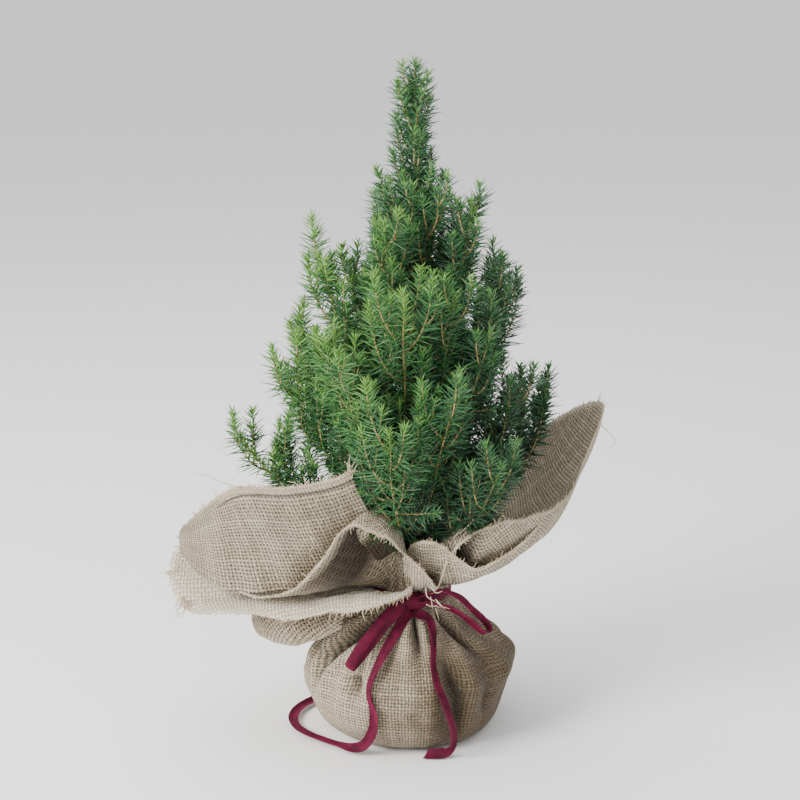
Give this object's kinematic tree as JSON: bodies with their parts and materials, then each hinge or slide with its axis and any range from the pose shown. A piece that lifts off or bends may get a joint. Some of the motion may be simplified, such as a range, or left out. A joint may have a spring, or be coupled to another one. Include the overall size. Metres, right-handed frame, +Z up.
{
  "type": "artificial tabletop tree",
  "caption": "Small conical artificial spruce with hinged boughs on a lift-out trunk, in a weighted pot wrapped in gathered burlap and tied with a velvet ribbon bow.",
  "frame": {"origin": "on the table under the axis of the trunk", "axes": "+Z up along the trunk, bow faces -Y, +X to the right of the bow"},
  "size_m": [0.2941, 0.198, 0.465],
  "materials": {
    "burlap": "open plain jute weave with frayed edges",
    "velvet_ribbon": "short burgundy velvet pile",
    "foliage": "moulded needles on a bristled wire core",
    "bark": "rough moulded bark",
    "pole_wood": "plain turned pole",
    "collar_plastic": "moulded dark green",
    "pin_steel": "plain drawn pins",
    "pot_plastic": "thin nursery pot",
    "socket_plastic": "moulded socket",
    "ballast_cement": "cast cement"
  },
  "bodies": {
    "base": {"pot": "pot_plastic", "ballast": "ballast_cement", "socket_tube": "socket_plastic", "burlap_wrap": "burlap", "ribbon_band": "velvet_ribbon", "ribbon_knot": "velvet_ribbon", "ribbon_loop_left": "velvet_ribbon", "ribbon_loop_right": "velvet_ribbon", "ribbon_tail_left": "velvet_ribbon", "ribbon_tail_right": "velvet_ribbon"},
    "tree": {"trunk_pole": "pole_wood", "bark_sleeves": "bark", "leader": "foliage", "top_shoot_1": "foliage", "top_shoot_2": "foliage", "top_shoot_3": "foliage", "top_shoot_4": "foliage", "top_shoot_5": "foliage", "top_shoot_6": "foliage", "collar_a": "collar_plastic", "collar_b": "collar_plastic", "collar_c": "collar_plastic", "collar_d": "collar_plastic", "collar_e": "collar_plastic", "hinge_pins_a": "pin_steel", "hinge_pins_b": "pin_steel", "hinge_pins_c": "pin_steel", "hinge_pins_d": "pin_steel", "hinge_pins_e": "pin_steel"},
    "bough_a1": {"bough_a1": "foliage"},
    "bough_a2": {"bough_a2": "foliage"},
    "bough_a3": {"bough_a3": "foliage"},
    "bough_a4": {"bough_a4": "foliage"},
    "bough_a5": {"bough_a5": "foliage"},
    "bough_a6": {"bough_a6": "foliage"},
    "bough_b1": {"bough_b1": "foliage"},
    "bough_b2": {"bough_b2": "foliage"},
    "bough_b3": {"bough_b3": "foliage"},
    "bough_b4": {"bough_b4": "foliage"},
    "bough_b5": {"bough_b5": "foliage"},
    "bough_b6": {"bough_b6": "foliage"},
    "bough_c1": {"bough_c1": "foliage"},
    "bough_c2": {"bough_c2": "foliage"},
    "bough_c3": {"bough_c3": "foliage"},
    "bough_c4": {"bough_c4": "foliage"},
    "bough_c5": {"bough_c5": "foliage"},
    "bough_c6": {"bough_c6": "foliage"},
    "bough_d1": {"bough_d1": "foliage"},
    "bough_d2": {"bough_d2": "foliage"},
    "bough_d3": {"bough_d3": "foliage"},
    "bough_d4": {"bough_d4": "foliage"},
    "bough_d5": {"bough_d5": "foliage"},
    "bough_e1": {"bough_e1": "foliage"},
    "bough_e2": {"bough_e2": "foliage"},
    "bough_e3": {"bough_e3": "foliage"},
    "bough_e4": {"bough_e4": "foliage"}
  },
  "joints": [
    {"name": "tree_lift", "type": "slide", "parent": "base", "child": "tree", "axis": [0, 0, 1], "range_m": [0, 0.04]},
    {"name": "bough_a1_fold", "type": "hinge", "parent": "tree", "child": "bough_a1", "pos_m": [0.0131, 0.00327, 0.1296], "axis": [0.2419, -0.9703, 0], "range_deg": [0, 14]},
    {"name": "bough_a2_fold", "type": "hinge", "parent": "tree", "child": "bough_a2", "pos_m": [-0.00118, 0.01345, 0.1296], "axis": [0.9962, 0.0872, 0], "range_deg": [0, 14]},
    {"name": "bough_a3_fold", "type": "hinge", "parent": "tree", "child": "bough_a3", "pos_m": [-0.01343, 0.00141, 0.1296], "axis": [0.1045, 0.9945, 0], "range_deg": [0, 14]},
    {"name": "bough_a4_fold", "type": "hinge", "parent": "tree", "child": "bough_a4", "pos_m": [-0.01106, -0.00774, 0.1296], "axis": [-0.5736, 0.8192, 0], "range_deg": [0, 14]},
    {"name": "bough_a5_fold", "type": "hinge", "parent": "tree", "child": "bough_a5", "pos_m": [-0.00234, -0.01329, 0.1296], "axis": [-0.9848, 0.1736, 0], "range_deg": [0, 14]},
    {"name": "bough_a6_fold", "type": "hinge", "parent": "tree", "child": "bough_a6", "pos_m": [0.00831, -0.01064, 0.1296], "axis": [-0.788, -0.6157, 0], "range_deg": [0, 14]},
    {"name": "bough_b1_fold", "type": "hinge", "parent": "tree", "child": "bough_b1", "pos_m": [0.00774, 0.01106, 0.1576], "axis": [0.8192, -0.5736, 0], "range_deg": [0, 14]},
    {"name": "bough_b2_fold", "type": "hinge", "parent": "tree", "child": "bough_b2", "pos_m": [-0.00955, 0.00955, 0.1576], "axis": [0.7071, 0.7071, 0], "range_deg": [0, 14]},
    {"name": "bough_b3_fold", "type": "hinge", "parent": "tree", "child": "bough_b3", "pos_m": [-0.01304, -0.00349, 0.1576], "axis": [-0.2588, 0.9659, 0], "range_deg": [0, 14]},
    {"name": "bough_b4_fold", "type": "hinge", "parent": "tree", "child": "bough_b4", "pos_m": [-0.00695, -0.01157, 0.1576], "axis": [-0.8572, 0.515, 0], "range_deg": [0, 14]},
    {"name": "bough_b5_fold", "type": "hinge", "parent": "tree", "child": "bough_b5", "pos_m": [0.00372, -0.01298, 0.1576], "axis": [-0.9613, -0.2756, 0], "range_deg": [0, 14]},
    {"name": "bough_b6_fold", "type": "hinge", "parent": "tree", "child": "bough_b6", "pos_m": [0.01284, -0.00417, 0.1576], "axis": [-0.309, -0.9511, 0], "range_deg": [0, 14]},
    {"name": "bough_c1_fold", "type": "hinge", "parent": "tree", "child": "bough_c1", "pos_m": [0.01223, 0.00571, 0.1896], "axis": [0.4226, -0.9063, 0], "range_deg": [0, 14]},
    {"name": "bough_c2_fold", "type": "hinge", "parent": "tree", "child": "bough_c2", "pos_m": [-0.00234, 0.01329, 0.1896], "axis": [0.9848, 0.1736, 0], "range_deg": [0, 14]},
    {"name": "bough_c3_fold", "type": "hinge", "parent": "tree", "child": "bough_c3", "pos_m": [-0.01337, 0.00188, 0.1896], "axis": [0.1392, 0.9903, 0], "range_deg": [0, 14]},
    {"name": "bough_c4_fold", "type": "hinge", "parent": "tree", "child": "bough_c4", "pos_m": [-0.01064, -0.00831, 0.1896], "axis": [-0.6157, 0.788, 0], "range_deg": [0, 14]},
    {"name": "bough_c5_fold", "type": "hinge", "parent": "tree", "child": "bough_c5", "pos_m": [-0.00118, -0.01345, 0.1896], "axis": [-0.9962, 0.0872, 0], "range_deg": [0, 14]},
    {"name": "bough_c6_fold", "type": "hinge", "parent": "tree", "child": "bough_c6", "pos_m": [0.00987, -0.00921, 0.1896], "axis": [-0.682, -0.7314, 0], "range_deg": [0, 14]},
    {"name": "bough_d1_fold", "type": "hinge", "parent": "tree", "child": "bough_d1", "pos_m": [0.0135, 0, 0.2256], "axis": [0, -1, 0], "range_deg": [0, 12]},
    {"name": "bough_d2_fold", "type": "hinge", "parent": "tree", "child": "bough_d2", "pos_m": [0.00462, 0.01269, 0.2256], "axis": [0.9397, -0.342, 0], "range_deg": [0, 12]},
    {"name": "bough_d3_fold", "type": "hinge", "parent": "tree", "child": "bough_d3", "pos_m": [-0.01078, 0.00813, 0.2256], "axis": [0.6018, 0.7986, 0], "range_deg": [0, 12]},
    {"name": "bough_d4_fold", "type": "hinge", "parent": "tree", "child": "bough_d4", "pos_m": [-0.01291, -0.00395, 0.2256], "axis": [-0.2924, 0.9563, 0], "range_deg": [0, 12]},
    {"name": "bough_d5_fold", "type": "hinge", "parent": "tree", "child": "bough_d5", "pos_m": [0.00592, -0.01213, 0.2256], "axis": [-0.8988, -0.4384, 0], "range_deg": [0, 12]},
    {"name": "bough_e1_fold", "type": "hinge", "parent": "tree", "child": "bough_e1", "pos_m": [0.01034, 0.00868, 0.2656], "axis": [0.6428, -0.766, 0], "range_deg": [0, 10]},
    {"name": "bough_e2_fold", "type": "hinge", "parent": "tree", "child": "bough_e2", "pos_m": [-0.00571, 0.01223, 0.2656], "axis": [0.9063, 0.4226, 0], "range_deg": [0, 10]},
    {"name": "bough_e3_fold", "type": "hinge", "parent": "tree", "child": "bough_e3", "pos_m": [-0.00571, -0.01223, 0.2656], "axis": [-0.9063, 0.4226, 0], "range_deg": [0, 10]},
    {"name": "bough_e4_fold", "type": "hinge", "parent": "tree", "child": "bough_e4", "pos_m": [0.01223, -0.00571, 0.2656], "axis": [-0.4226, -0.9063, 0], "range_deg": [0, 10]}
  ]
}
